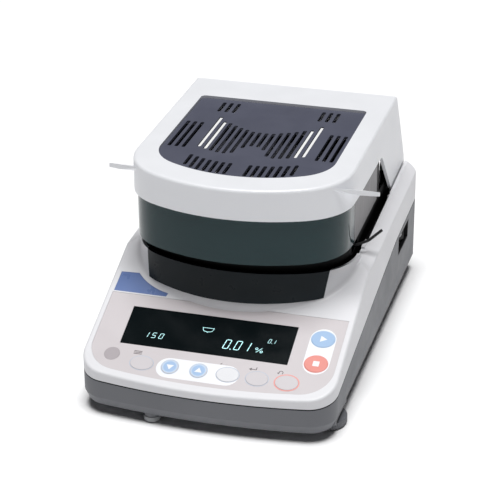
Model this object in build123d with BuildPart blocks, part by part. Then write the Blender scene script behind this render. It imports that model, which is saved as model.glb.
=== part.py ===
from build123d import *
import math
import os

os.makedirs("parts", exist_ok=True)

# ---------------------------------------------------------------------------
# Moisture analyzer: a heated-lid bench balance.  Millimetres, +Z up, front at
# -Y, width along X, origin at the bottom centre on the table.
# ---------------------------------------------------------------------------

# ---- overall --------------------------------------------------------------
CASE_HW = 99.5          # half width of the case
CASE_YF = -160.0        # foremost point of the case
CASE_YR = 160.0         # rear face of the case
CASE_RF = 565.0         # bow of the front wall
CASE_RC = 22.0          # front corner radius in plan
CASE_RR = 8.0           # rear corner radius in plan
WALL = 2.5

# ---- lower case -----------------------------------------------------------
LC_Z0 = 8.0             # underside
LC_Z1 = 15.0            # where the bottom chamfer meets the wall
LC_INSET = 3.0          # chamfer inset
SEAM = [(-161.0, 28.4), (75.0, 64.5), (161.0, 68.0)]
SEAM_GAP = 0.55         # half of the groove between the shells

# ---- front panel ----------------------------------------------------------
PANEL_S = 0.40          # slope of the panel plane
PANEL_Z0 = 99.0         # its height at y = 0:  z = PANEL_Z0 + PANEL_S * y
PCOS = 1.0 / math.sqrt(1 + PANEL_S ** 2)
PY0 = -120.0            # y of the panel plane's origin

# ---- chamber opening and collar -------------------------------------------
OPN = dict(hw=86.0, yf=-77.0, rf=130.0, rc=50.0)
COLLAR_Z = 96.0
SIDE_HW = 88.5          # half width of the opening beside the lid
COLLAR_T = 2.0
COLLAR_DRAFT = 0.158
LEDGE_Z0, LEDGE_S = 91.0, 0.055     # inner ledge height: z = Z0 + S*y
CREASE_Z0, CREASE_S = 87.0, 0.040   # outer crease height

# ---- hinge ----------------------------------------------------------------
HY, HZ = 148.0, 97.0    # hinge axis, along X
PIN_R = 4.0
PIN_CLEAR = 0.05
TROUGH_R = 15.0
DECK_HW = 88.0          # half width of the open deck round the hinge

BRX = 72.75             # middle of the hinge bracket's plate

# ---- lid ------------------------------------------------------------------
LID = dict(hw=87.0, yf=-94.0, rf=130.0, rc=50.0)
LID_T = 2.8
LID_TOP_R = 173.0       # top height at the rear edge
LID_TOP_F = 171.8       # and at the front

# ---- weighing chamber -----------------------------------------------------
PAN_Y = -5.0
PAN_R = 42.5
LAMP_Z = 152.0


def d_face(z, hw, yf, yr, rf, rc, rr=0.0):
    """D-shaped plan face at height z: straight sides, round corners, bowed front."""
    cy = yf + rf
    yc = cy - math.sqrt((rf - rc) ** 2 - (hw - rc) ** 2)
    ux, uy = (hw - rc) / (rf - rc), (yc - cy) / (rf - rc)
    tx, ty = rf * ux, cy + rf * uy
    am = math.atan2(uy, ux) / 2
    mx, my = hw - rc + rc * math.cos(am), yc + rc * math.sin(am)
    with BuildSketch(Plane.XY.offset(z)) as s:
        with BuildLine():
            Line((hw, yr), (hw, yc))
            ThreePointArc((hw, yc), (mx, my), (tx, ty))
            ThreePointArc((tx, ty), (0, yf), (-tx, ty))
            ThreePointArc((-tx, ty), (-mx, my), (-hw, yc))
            Line((-hw, yc), (-hw, yr))
            Line((-hw, yr), (hw, yr))
        make_face()
        if rr > 0:
            fillet(s.vertices().sort_by(Axis.Y)[-2:], rr)
    return s.sketch


def grow(d, o):
    """The same D, offset outward by o."""
    return dict(hw=d["hw"] + o, yf=d["yf"] - o, rf=d["rf"] + o, rc=d["rc"] + o)


def case_face(z, o=0.0):
    return d_face(z, CASE_HW + o, CASE_YF - o, CASE_YR + o, CASE_RF + o, CASE_RC + o, max(CASE_RR + o, 1))


def panel_z(y):
    return PANEL_Z0 + PANEL_S * y


def panel_plane(depth=0.0):
    """Plane of the front panel, moved outward by depth along its normal."""
    n = Vector(0, -PANEL_S * PCOS, PCOS)
    o = Vector(0, PY0, panel_z(PY0)) + n * depth
    return Plane(origin=o, x_dir=(1, 0, 0), z_dir=n)


def ly(y):
    """Local y on the panel plane for a row-frame y."""
    return (y - PY0) / PCOS


def seam_z(y):
    for (y0, z0), (y1, z1) in zip(SEAM, SEAM[1:]):
        if y <= y1:
            return z0 + (z1 - z0) * (y - y0) / (y1 - y0)
    return SEAM[-1][1]


# ---- keys: name, x, y, half length, half height ---------------------------
KEYS = [
    ("key_program", -51.0, -141.0, 9.0, 6.5),
    ("key_down", -28.6, -141.0, 6.6, 6.6),
    ("key_up", -6.1, -141.0, 6.6, 6.6),
    ("key_select", 16.6, -141.0, 8.6, 6.7),
    ("key_enter", 39.2, -141.0, 8.6, 6.6),
    ("key_reset", 62.0, -141.0, 8.8, 6.9),
    ("key_start", 79.4, -99.0, 9.0, 7.9),
    ("key_stop", 79.4, -121.4, 8.8, 7.9),
]
KEY_GAP = 0.35
KEY_PROUD = 0.45

DISP_X0, DISP_X1 = -73.5, 58.3
DISP_Y0, DISP_Y1 = -125.6, -91.0
STANDOFFS = [(-84.0, -98.0), (63.8, -96.0), (-66.5, -143.0), (81.0, -140.0)]
POST_X, POST_YF, POST_YR, POST_Z = 91.6, -72.0, 62.0, 40.0
OVL_HW, OVL_TOP, OVL_BOT = 94.7, -80.0, -154.0
OVL_DEPTH = 0.7
OVL_T = 0.5
CORNER = [(-94.3, -78.6), (-94.0, -60.2), (-79.5, -59.6), (-50.8, -75.4), (-51.6, -78.6)]
INLAY = (-76.3, -136.0, 6.1)

DISC_X, DISC_Y, DISC_R = 87.0, -118.0, 16.0     # levelling discs, right and left
POCKET_Z = 10.0
FOOT_F = (-40.5, -149.5)                        # front stop foot
REAR_FEET = [(78.0, 136.0), (-78.0, 136.0)]
SCREWS = [(POST_X, POST_YF), (-POST_X, POST_YF), (POST_X, POST_YR), (-POST_X, POST_YR)]
CH_Z, CH_T = 12.0, 1.5                          # chassis plate
CH_PADS = [(72.0, -88.0), (-72.0, -88.0), (72.0, 118.0), (-72.0, 118.0)]

SW_Y0, SW_Y1, SW_Z0, SW_Z1 = 84.0, 125.0, 45.0, 61.5   # power switch recess
INLET_X, FUSE_X, EARTH_X, SERIAL_X = 55.0, 22.0, -8.0, -48.0
CONN_Z = 36.0


def overlay_face(depth, grow_by=0.0, holes=True):
    g = grow_by
    hw, top, bot = OVL_HW + g, ly(OVL_TOP) + g, ly(OVL_BOT) - g
    rc, rf = 25.0 + g, 560.0
    cy = bot + rf
    yc = cy - math.sqrt((rf - rc) ** 2 - (hw - rc) ** 2)
    ux, uy = (hw - rc) / (rf - rc), (yc - cy) / (rf - rc)
    tx, ty = rf * ux, cy + rf * uy
    am = math.atan2(uy, ux) / 2
    mx, my = hw - rc + rc * math.cos(am), yc + rc * math.sin(am)
    with BuildSketch(panel_plane(depth)) as s:
        with BuildLine():
            Line((hw, top), (hw, yc))
            ThreePointArc((hw, yc), (mx, my), (tx, ty))
            ThreePointArc((tx, ty), (0, bot), (-tx, ty))
            ThreePointArc((-tx, ty), (-mx, my), (-hw, yc))
            Line((-hw, yc), (-hw, top))
            Line((-hw, top), (hw, top))
        make_face()
        if holes:
            with Locations(((DISP_X0 + DISP_X1) / 2, (ly(DISP_Y0) + ly(DISP_Y1)) / 2)):
                Rectangle(DISP_X1 - DISP_X0 + 0.2, ly(DISP_Y1) - ly(DISP_Y0) + 0.2, mode=Mode.SUBTRACT)
            for _, kx, ky, a, b in KEYS:
                with Locations((kx, ly(ky))):
                    Ellipse(a + KEY_GAP, b + KEY_GAP, mode=Mode.SUBTRACT)
            with Locations((INLAY[0], ly(INLAY[1]))):
                Circle(INLAY[2] + 0.1, mode=Mode.SUBTRACT)
    return s.sketch


def corner_face(depth, g=0.0):
    with BuildSketch(panel_plane(depth)) as s:
        with BuildLine():
            p = [(x, ly(y)) for x, y in CORNER]
            Line(p[0], p[1])
            Line(p[1], p[2])
            ThreePointArc(p[2], (-66.8, ly(-69.6)), p[3])
            Line(p[3], p[4])
            Line(p[4], p[0])
        make_face()
        if g:
            offset(amount=g)
    return s.sketch


def prism(pts, x0, x1):
    """Solid of a YZ polygon between two X positions."""
    with BuildPart() as p:
        with BuildSketch(Plane.YZ.offset(x0)):
            with BuildLine():
                Polyline(*pts, close=True)
            make_face()
        extrude(amount=x1 - x0)
    return p.part


def cant_wedge(side):
    """What is cut away above the canted shoulder between crease and ledge."""
    secs = []
    for y in (-70.0, 166.0):
        zl, zc = LEDGE_Z0 + LEDGE_S * y, CREASE_Z0 + CREASE_S * y
        k = (zl - zc) / (CASE_HW - 90.5)
        zo = zc - k * 4.0
        with BuildSketch(Plane(origin=(0, y, 0), x_dir=(1, 0, 0), z_dir=(0, -1, 0))) as s:
            with BuildLine():
                Polyline((side * 90.5, zl), (side * (CASE_HW + 4.0), zo),
                         (side * (CASE_HW + 4.0), 140), (side * 90.5, 140), close=True)
            make_face()
        secs.append(s.sketch)
    with BuildPart() as w:
        loft([secs[0], secs[1]], ruled=True)
    return w.part


cant_r = cant_wedge(1)
cant_l = cant_wedge(-1)

# collar: drafted D tube rising from the sloped panel, its top edge falling back
with BuildPart() as collar_solid:
    loft([d_face(58.0, yr=13.0, **grow(OPN, COLLAR_T + (COLLAR_Z - 58.0) * COLLAR_DRAFT)),
          d_face(100.0, yr=13.0, **grow(OPN, COLLAR_T + (COLLAR_Z - 100.0) * COLLAR_DRAFT))], ruled=True)
    with BuildSketch(Plane.YZ.offset(-110)):
        with BuildLine():
            Polyline((-100, 60), (-100, COLLAR_Z + 1.35), (13.0, COLLAR_Z - 4.3), (13.0, 60), close=True)
        make_face()
    extrude(amount=220, mode=Mode.INTERSECT)

# apron: dark front piece let into the collar, 0.7 proud of it
with BuildPart() as front_apron:
    loft([d_face(58.0, yr=0.0, **grow(OPN, COLLAR_T + 0.7 + (COLLAR_Z - 58.0) * COLLAR_DRAFT)),
          d_face(100.0, yr=0.0, **grow(OPN, COLLAR_T + 0.7 + (COLLAR_Z - 100.0) * COLLAR_DRAFT))], ruled=True)
    with BuildSketch(Plane.YZ.offset(-110)):
        with BuildLine():
            Polyline((-100, 70.6), (-100, 97.6), (-40, 94.6), (-40, 77.5), close=True)
        make_face()
    extrude(amount=220, mode=Mode.INTERSECT)
    with BuildSketch(Plane.XZ.offset(110)):
        with BuildLine():
            Polyline((-74.0, 99.0), (-69.2, 66.0), (-69.2, 60.0), (69.2, 60.0), (69.2, 66.0), (74.0, 99.0), close=True)
        make_face()
    extrude(amount=-80, mode=Mode.INTERSECT)
    loft([d_face(50.0, yr=20.0, **grow(OPN, COLLAR_T - 1.0 + (COLLAR_Z - 50.0) * COLLAR_DRAFT)),
          d_face(94.0, yr=20.0, **grow(OPN, COLLAR_T - 1.0 + (COLLAR_Z - 94.0) * COLLAR_DRAFT))], ruled=True,
         mode=Mode.SUBTRACT)
    # above that a lip covers the collar's rim
    extrude(d_face(93.9, yr=20.0, **OPN), amount=10.0, mode=Mode.SUBTRACT)
front_apron.part.label = "front_apron"
export_step(front_apron.part, "parts/front_apron.step")

# ---------------------------------------------------------------------------
# Case shells
# ---------------------------------------------------------------------------
with BuildPart() as upper_case:
    extrude(case_face(20.0), amount=110)
    with BuildSketch(Plane.YZ.offset(-110)):
        with BuildLine():
            yb = (LEDGE_Z0 - PANEL_Z0) / (PANEL_S - LEDGE_S)
            Polyline((-170, SEAM[0][1] - 1.4 + SEAM_GAP), (SEAM[1][0], SEAM[1][1] + SEAM_GAP),
                     (170, SEAM[2][1] + SEAM_GAP + 0.4), (170, LEDGE_Z0 + LEDGE_S * 170),
                     (yb, panel_z(yb)), (-170, panel_z(-170)), close=True)
        make_face()
    extrude(amount=220, mode=Mode.INTERSECT)
    add(cant_r, mode=Mode.SUBTRACT)
    add(cant_l, mode=Mode.SUBTRACT)
    add(collar_solid.part)
    # soft foot where the collar meets the panel
    foot_edges = upper_case.edges().filter_by(
        lambda e: e.length > 5.0 and -100 < e.center().Y < -20 and abs(e.center().X) < 93
        and abs((e @ 0).Z - panel_z((e @ 0).Y)) < 0.5 and abs((e @ 1).Z - panel_z((e @ 1).Y)) < 0.5
        and abs(e.center().Z - panel_z(e.center().Y)) < 1.5)
    fillet(foot_edges, 4.0)
    # soften the crease between the top and the walls
    top_edges = upper_case.edges().filter_by(
        lambda e: e.center().Z > seam_z(e.center().Y) + 3.0
        and (abs(abs(e.center().X) - CASE_HW) < 5.0 or e.center().Y < -125.0)
        and abs((e @ 0).Z - (e @ 1).Z) < 0.62 * e.length
        and (abs((e @ 0).X) > CASE_HW - 24 or abs((e @ 1).X) > CASE_HW - 24)
        and e.center().Y < 155.0
        and not (abs((e @ 0).X) < 91.0 and abs((e @ 1).X) < 91.0 and e.center().Y > -60))
    fillet(top_edges, 2.0)
    # hollow inside
    add(prism([(-170, 0), (170, 0), (170, 79.3), (98, 79.3), (98, 87.4), (-31, 83.0), (-170, panel_z(-170) - 3.8)],
              -CASE_HW + WALL, CASE_HW - WALL).intersect(
        extrude(case_face(10.0, -WALL), amount=110, mode=Mode.PRIVATE)), mode=Mode.SUBTRACT)
    # the chamber opening, and the open trough for the lid's hinge barrel
    extrude(d_face(10.0, yr=128.0, **OPN), amount=120, mode=Mode.SUBTRACT)
    with BuildSketch(Plane.YZ.offset(-DECK_HW)):
        with BuildLine():
            Polyline((96, 130), (96, 93.5), (128, 85.5), (139.2, 84.8))
            ThreePointArc((139.2, 84.8), (HY, HZ - TROUGH_R), (HY + 12, 88))
            Polyline((HY + 12, 88), (170, 88), (170, 130), (96, 130))
        make_face()
    extrude(amount=2 * DECK_HW, mode=Mode.SUBTRACT)
    # the opening is a little wider beside the lid
    with Locations((0, 55.0, 105.0)):
        Box(2 * SIDE_HW, 84.0, 44.0, mode=Mode.SUBTRACT)
    # slots for the hinge brackets
    with Locations((BRX, 145.5, 84), (-BRX, 145.5, 84)):
        Box(6.1, 13.0, 20.0, mode=Mode.SUBTRACT)
    # notch for the pan handle's lever
    with Locations((89.0, -9.0, 96.0)):
        Box(12.0, 14.0, 11.0, mode=Mode.SUBTRACT)
    # posts for the case screws and the keyboard board
    for sx in (-1, 1):
        with BuildSketch(Plane.XY.offset(POST_Z)):
            with Locations((sx * POST_X, POST_YF)):
                Circle(5.2)
        extrude(amount=panel_z(POST_YF) - 3.0 - POST_Z)
        with BuildSketch(Plane.XY.offset(POST_Z)):
            with Locations((sx * POST_X, POST_YR)):
                Circle(5.2)
        extrude(amount=87.5 - POST_Z)
    with BuildSketch(Plane.XY.offset(POST_Z - 1)):
        with Locations((POST_X, POST_YF), (-POST_X, POST_YF), (POST_X, POST_YR), (-POST_X, POST_YR)):
            Circle(2.0)
    extrude(amount=14, mode=Mode.SUBTRACT)
    with BuildSketch(panel_plane(-10.4)):
        with Locations(*[(x, ly(y)) for x, y in STANDOFFS]):
            Circle(2.6)
    extrude(amount=7.5)
    add(front_apron.part, mode=Mode.SUBTRACT)

# the overlay recess stops at the collar, so the cutter is trimmed by it
with BuildPart() as overlay_cutter:
    extrude(overlay_face(-OVL_DEPTH, 0.15, holes=False), amount=3.0)
    add(collar_solid.part, mode=Mode.SUBTRACT)
with BuildPart() as corner_cutter:
    extrude(corner_face(-0.6, 0.1), amount=3.0)

with BuildPart() as upper_case2:
    add(upper_case.part)
    add(overlay_cutter.part, mode=Mode.SUBTRACT)
    add(corner_cutter.part, mode=Mode.SUBTRACT)
    with BuildSketch(panel_plane(-8.0)):
        with Locations(((DISP_X0 + DISP_X1) / 2, (ly(DISP_Y0) + ly(DISP_Y1)) / 2)):
            Rectangle(DISP_X1 - DISP_X0 - 4, ly(DISP_Y1) - ly(DISP_Y0) - 4)
        for _, kx, ky, a, b in KEYS:
            with Locations((kx, ly(ky))):
                Ellipse(a + KEY_GAP, b + KEY_GAP)
    extrude(amount=12.0, mode=Mode.SUBTRACT)
    with BuildSketch(panel_plane(-2.4)):
        with Locations(((DISP_X0 + DISP_X1) / 2, (ly(DISP_Y0) + ly(DISP_Y1)) / 2)):
            Rectangle(DISP_X1 - DISP_X0 + 0.2, ly(DISP_Y1) - ly(DISP_Y0) + 0.2)
    extrude(amount=6.0, mode=Mode.SUBTRACT)
upper_case2.part.label = "upper_case"
export_step(upper_case2.part, "parts/upper_case.step")

with BuildPart() as panel_overlay:
    extrude(overlay_face(-OVL_DEPTH, 0.0), amount=OVL_T)
    add(collar_solid.part, mode=Mode.SUBTRACT)
panel_overlay.part.label = "panel_overlay"
export_step(panel_overlay.part, "parts/panel_overlay.step")

with BuildPart() as corner_plate:
    extrude(corner_face(-0.6), amount=0.45)
corner_plate.part.label = "corner_plate"
export_step(corner_plate.part, "parts/corner_plate.step")

with BuildPart() as round_inlay:
    with BuildSketch(panel_plane(-OVL_DEPTH)):
        with Locations((INLAY[0], ly(INLAY[1]))):
            Circle(INLAY[2])
    extrude(amount=OVL_T + 0.1)
round_inlay.part.label = "round_inlay"
export_step(round_inlay.part, "parts/round_inlay.step")

with BuildPart() as display_window:
    with BuildSketch(panel_plane(-2.4)):
        with Locations(((DISP_X0 + DISP_X1) / 2, (ly(DISP_Y0) + ly(DISP_Y1)) / 2)):
            RectangleRounded(DISP_X1 - DISP_X0, ly(DISP_Y1) - ly(DISP_Y0), 1.5)
    extrude(amount=2.0)
display_window.part.label = "display_window"
export_step(display_window.part, "parts/display_window.step")

# display: glass envelope on its carrier board
with BuildPart() as display_module:
    with BuildSketch(panel_plane(-10.4)):
        with Locations(((DISP_X0 + DISP_X1) / 2, (ly(DISP_Y0) + ly(DISP_Y1)) / 2)):
            RectangleRounded(122, 31, 1.0)
    extrude(amount=7.8)
display_module.part.label = "display_module"
export_step(display_module.part, "parts/display_module.step")

KEY_Z = -3.65            # bottom of the key caps below the panel plane
for name, kx, ky, a, b in KEYS:
    with BuildPart() as key:
        with BuildSketch(panel_plane(KEY_Z)):
            with Locations((kx, ly(ky))):
                Ellipse(a, b)
        extrude(amount=-KEY_Z - OVL_DEPTH + OVL_T + KEY_PROUD)
        fillet(key.faces().sort_by(Axis((0, 0, 0), (0, -PANEL_S, 1)))[-1].edges(), 0.4)
        # flange that keeps the cap behind the panel
        with BuildSketch(panel_plane(KEY_Z - 1.0)):
            with Locations((kx, ly(ky))):
                Ellipse(a + 1.2, b + 1.2)
        extrude(amount=1.0)
    key.part.label = name
    export_step(key.part, "parts/" + name + ".step")

# keyboard board, parallel to the panel, and its eight tact switches
with BuildPart() as keyboard_board:
    with BuildSketch(panel_plane(-12.0)):
        with Locations((0, (ly(-146.2) + ly(-90)) / 2)):
            Rectangle(174, ly(-90) - ly(-146.2))
    extrude(amount=1.6)
    with BuildSketch(panel_plane(-13.0)):
        with Locations(*[(x, ly(y)) for x, y in STANDOFFS]):
            Circle(1.2)
    extrude(amount=4, mode=Mode.SUBTRACT)
keyboard_board.part.label = "keyboard_board"
export_step(keyboard_board.part, "parts/keyboard_board.step")

with BuildPart() as key_switches:
    for _, kx, ky, a, b in KEYS:
        with BuildSketch(panel_plane(-10.4)):
            with Locations((kx, ly(ky))):
                RectangleRounded(6.2, 6.2, 0.5)
        extrude(amount=3.4)
        with BuildSketch(panel_plane(-7.0)):
            with Locations((kx, ly(ky))):
                Circle(1.7)
        extrude(amount=1.7)
key_switches.part.label = "key_switches"
export_step(key_switches.part, "parts/key_switches.step")

# lower case ----------------------------------------------------------------
with BuildPart() as disc_pads:
    with BuildSketch(Plane.XY.offset(8.5)):
        with Locations((DISC_X, DISC_Y), (-DISC_X, DISC_Y)):
            Circle(DISC_R + 5.0)
    extrude(amount=4.0)
    with BuildSketch(Plane.XY.offset(8.5)):
        with Locations((DISC_X - 2, DISC_Y + 2), (-DISC_X + 2, DISC_Y + 2)):
            Circle(9.0)
    extrude(amount=11.0)
    extrude(case_face(5.0, -1.0), amount=30, mode=Mode.INTERSECT)
with BuildPart() as lower_case:
    loft([case_face(LC_Z0, -LC_INSET), case_face(LC_Z1)], ruled=True)
    extrude(case_face(LC_Z1), amount=60)
    with BuildSketch(Plane.YZ.offset(-110)):
        with BuildLine():
            Polyline((-170, 0), (170, 0), (170, SEAM[2][1] - SEAM_GAP + 0.4), (SEAM[1][0], SEAM[1][1] - SEAM_GAP),
                     (-170, SEAM[0][1] - 1.4 - SEAM_GAP), close=True)
        make_face()
    extrude(amount=220, mode=Mode.INTERSECT)
    # inside
    loft([case_face(LC_Z0 + WALL, -LC_INSET - WALL + 1.0), case_face(LC_Z1 + 0.5, -WALL)], ruled=True, mode=Mode.SUBTRACT)
    extrude(case_face(LC_Z1 + 0.5, -WALL), amount=80, mode=Mode.SUBTRACT)
    # rear side corners step inward below the connector line
    with Locations((CASE_HW, 157.0, 20.0), (-CASE_HW, 157.0, 20.0)):
        Box(2.6, 8.0, 44.0, mode=Mode.SUBTRACT)
    # bosses that carry the feet, and the relief over the levelling discs
    with BuildSketch(Plane.XY.offset(5.0)):
        with Locations(FOOT_F):
            Circle(6.2)
    extrude(amount=8.0)
    add(disc_pads.part)
    with BuildSketch(Plane.XY.offset(0.0)):
        with Locations((DISC_X, DISC_Y), (-DISC_X, DISC_Y)):
            Circle(DISC_R + 2.5)
    extrude(amount=POCKET_Z, mode=Mode.SUBTRACT)
    with BuildSketch(Plane.XY.offset(0.0)):
        with Locations((DISC_X, DISC_Y), (-DISC_X, DISC_Y)):
            Circle(3.05)
    extrude(amount=40, mode=Mode.SUBTRACT)
    # rear feet sit in shallow seats
    with BuildSketch(Plane.XY.offset(5.0)):
        with Locations(*REAR_FEET):
            Circle(8.0)
    extrude(amount=4.5, mode=Mode.SUBTRACT)
    # posts for the case screws
    with BuildSketch(Plane.XY.offset(9.0)):
        with Locations(*SCREWS):
            Circle(6.0)
    extrude(amount=POST_Z - 9.0)
    with BuildSketch(Plane.XY.offset(0.0)):
        with Locations(*SCREWS):
            Circle(4.2)
    extrude(amount=36.0, mode=Mode.SUBTRACT)
    with BuildSketch(Plane.XY.offset(30.0)):
        with Locations(*SCREWS):
            Circle(2.0)
    extrude(amount=12.0, mode=Mode.SUBTRACT)
    # pads under the chassis plate
    with BuildSketch(Plane.XY.offset(9.5)):
        with Locations(*CH_PADS):
            Circle(5.0)
    extrude(amount=CH_Z - 9.5)
    # power switch recess in the right wall, with a thicker wall behind it
    with Locations((CASE_HW - 5.0, (SW_Y0 + SW_Y1) / 2, (SW_Z0 + SW_Z1) / 2)):
        Box(8.0, SW_Y1 - SW_Y0 + 6, SW_Z1 - SW_Z0 + 5)
    with BuildSketch(Plane.YZ.offset(CASE_HW - 5.0)):
        with BuildLine():
            Polyline((SW_Y0, SW_Z0), (SW_Y1 - 2, SW_Z0), (SW_Y1, SW_Z1), (SW_Y0, SW_Z1), close=True)
        make_face()
    extrude(amount=10.0, mode=Mode.SUBTRACT)
    with Locations((CASE_HW - 6.0, (SW_Y0 + SW_Y1) / 2, (SW_Z0 + SW_Z1) / 2)):
        Box(20.0, 27.4, 13.0, mode=Mode.SUBTRACT)
    # rear connector cut-outs
    with Locations((INLET_X, CASE_YR, CONN_Z)):
        Box(27.4, 20.0, 19.6, mode=Mode.SUBTRACT)
    with Locations((SERIAL_X, CASE_YR, CONN_Z)):
        Box(31.0, 20.0, 12.6, mode=Mode.SUBTRACT)
    with BuildSketch(Plane.XZ.offset(-CASE_YR - 10)):
        with Locations((FUSE_X, CONN_Z)):
            Circle(6.1)
        with Locations((EARTH_X, CONN_Z)):
            Circle(2.1)
    extrude(amount=20, mode=Mode.SUBTRACT)
lower_case.part.label = "lower_case"
export_step(lower_case.part, "parts/lower_case.step")

# dark gasket in the groove between the shells
with BuildPart() as seam_gasket:
    extrude(case_face(20.0, -0.25), amount=60)
    extrude(case_face(20.0, -2.0), amount=60, mode=Mode.SUBTRACT)
    with BuildSketch(Plane.YZ.offset(-110)):
        with BuildLine():
            z0, z1, z2 = SEAM[0][1] - 1.4, SEAM[1][1], SEAM[2][1] + 0.4
            Polyline((-170, z0 - SEAM_GAP), (SEAM[1][0], z1 - SEAM_GAP), (170, z2 - SEAM_GAP),
                     (170, z2 + SEAM_GAP), (SEAM[1][0], z1 + SEAM_GAP), (-170, z0 + SEAM_GAP), close=True)
        make_face()
    extrude(amount=220, mode=Mode.INTERSECT)
seam_gasket.part.label = "seam_gasket"
export_step(seam_gasket.part, "parts/seam_gasket.step")

# ---------------------------------------------------------------------------
# Fittings of the case
# ---------------------------------------------------------------------------
with BuildPart() as rear_feet:
    with BuildSketch(Plane.XY):
        with Locations(*REAR_FEET):
            Circle(7.6)
    extrude(amount=9.5)
    with BuildSketch(Plane.XY.offset(7.9)):
        with Locations(*REAR_FEET):
            Circle(10.0)
            Circle(7.0, mode=Mode.SUBTRACT)
    extrude(amount=-5.0)
rear_feet.part.label = "rear_feet"
export_step(rear_feet.part, "parts/rear_feet.step")

with BuildPart() as stop_foot:
    with BuildSketch(Plane.XY.offset(0.6)):
        with Locations(FOOT_F):
            Circle(6.8)
    extrude(amount=4.4)
    chamfer(stop_foot.edges().sort_by(Axis.Z)[0], 0.8)
stop_foot.part.label = "stop_foot"
export_step(stop_foot.part, "parts/stop_foot.step")

for side, sx in (("right", 1), ("left", -1)):
    # knurled disc with its screw
    with BuildPart() as disc:
        with BuildSketch(Plane.XY.offset(1.5)):
            with Locations((sx * DISC_X, DISC_Y)):
                Circle(DISC_R)
                with PolarLocations(DISC_R + 0.35, 48):
                    Circle(0.8, mode=Mode.SUBTRACT)
        extrude(amount=5.0)
        with BuildSketch(Plane.XY.offset(6.5)):
            with Locations((sx * DISC_X, DISC_Y)):
                Circle(3.0)
        extrude(amount=15.5)
        with BuildSketch(Plane.XY.offset(1.5)):
            with Locations((sx * DISC_X, DISC_Y)):
                Circle(3.35)
        extrude(amount=3.0, mode=Mode.SUBTRACT)
    disc.part.label = "level_disc_" + side
    export_step(disc.part, "parts/level_disc_" + side + ".step")
    with BuildPart() as pad:
        with BuildSketch(Plane.XY):
            with Locations((sx * DISC_X, DISC_Y)):
                Circle(9.0)
        extrude(amount=1.5)
        with BuildSketch(Plane.XY.offset(1.5)):
            with Locations((sx * DISC_X, DISC_Y)):
                Circle(3.0)
        extrude(amount=2.5)
    pad.part.label = "level_pad_" + side
    export_step(pad.part, "parts/level_pad_" + side + ".step")

with BuildPart() as case_screws:
    with BuildSketch(Plane.XY.offset(32.8)):
        with Locations(*SCREWS):
            Circle(3.6)
            RegularPolygon(1.7, 6, mode=Mode.SUBTRACT)
    extrude(amount=2.2)
    with BuildSketch(Plane.XY.offset(35.0)):
        with Locations(*SCREWS):
            Circle(3.6)
    extrude(amount=1.0)
    with BuildSketch(Plane.XY.offset(36.0)):
        with Locations(*SCREWS):
            Circle(2.0)
    extrude(amount=15.0)
case_screws.part.label = "case_screws"
export_step(case_screws.part, "parts/case_screws.step")

# power switch: a dark liner in the recess, and the rocker on a cross pin
SWY, SWZ = (SW_Y0 + SW_Y1) / 2, (SW_Z0 + SW_Z1) / 2
SW_X = CASE_HW - 5.0                             # floor of the recess
PIV_X = SW_X - 4.0                               # axis of the rocker, along Z
with BuildPart() as switch_frame:
    with Locations((SW_X - 8.0, SWY, SWZ)):
        Box(16.0, 27.2, 12.8)
    with BuildSketch(Plane.YZ.offset(SW_X)):
        with BuildLine():
            Polyline((SW_Y0 + 0.1, SW_Z0 + 0.1), (SW_Y1 - 2.1, SW_Z0 + 0.1), (SW_Y1 - 0.12, SW_Z1 - 0.1),
                     (SW_Y0 + 0.1, SW_Z1 - 0.1), close=True)
        make_face()
    extrude(amount=4.8)
    with BuildSketch(Plane.YZ.offset(SW_X + 1.5)):
        with BuildLine():
            Polyline((SW_Y0 + 0.9, SW_Z0 + 0.9), (SW_Y1 - 2.9, SW_Z0 + 0.9), (SW_Y1 - 1.0, SW_Z1 - 0.9),
                     (SW_Y0 + 0.9, SW_Z1 - 0.9), close=True)
        make_face()
    extrude(amount=10.0, mode=Mode.SUBTRACT)
    with Locations((SW_X - 5.0, SWY, SWZ)):
        Box(14.0, 24.0, 10.6, mode=Mode.SUBTRACT)
    with BuildSketch(Plane.XY.offset(SWZ - 5.95)):
        with Locations((PIV_X, SWY)):
            Circle(1.55)
    extrude(amount=11.9, mode=Mode.SUBTRACT)
switch_frame.part.label = "switch_frame"
export_step(switch_frame.part, "parts/switch_frame.step")

with BuildPart() as power_rocker:
    # two canted faces, seen along Z
    with BuildSketch(Plane.XY.offset(SWZ - 5.0)):
        with BuildLine():
            Polyline((SW_X - 7.5, SWY - 6.0), (SW_X - 1.0, SWY - 10.6), (SW_X - 2.2, SWY - 1.0),
                     (SW_X + 3.6, SWY + 7.8), (SW_X + 0.5, SWY + 10.2), (SW_X - 7.5, SWY + 6.0), close=True)
        make_face()
    extrude(amount=10.0)
    with BuildSketch(Plane.XY.offset(SWZ - 5.9)):
        with Locations((PIV_X, SWY)):
            Circle(1.5)
    extrude(amount=11.8)
power_rocker.part.label = "power_rocker"
export_step(power_rocker.part, "parts/power_rocker.step")

# rear fittings
with BuildPart() as ac_inlet:
    with Locations((INLET_X, CASE_YR - 10.0, CONN_Z)):
        Box(27.2, 24.0, 19.4)
    with Locations((INLET_X, CASE_YR + 1.0 - 1.0, CONN_Z)):
        Box(27.2, 0.5, 19.4)
    with Locations((INLET_X, CASE_YR - 4.0, CONN_Z)):
        Box(24.4, 16.0, 16.6, mode=Mode.SUBTRACT)
    with Locations((INLET_X, CASE_YR - 5.0, CONN_Z)):
        Box(20.0, 14.0, 12.0)
    with Locations((INLET_X - 7, CASE_YR - 2.0, CONN_Z - 1), (INLET_X, CASE_YR - 2.0, CONN_Z + 2.5),
                   (INLET_X + 7, CASE_YR - 2.0, CONN_Z - 1)):
        Box(2.4, 12.0, 5.0, mode=Mode.SUBTRACT)
    extrude(case_face(5.0), amount=80, mode=Mode.INTERSECT)
ac_inlet.part.label = "ac_inlet"
export_step(ac_inlet.part, "parts/ac_inlet.step")

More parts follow.
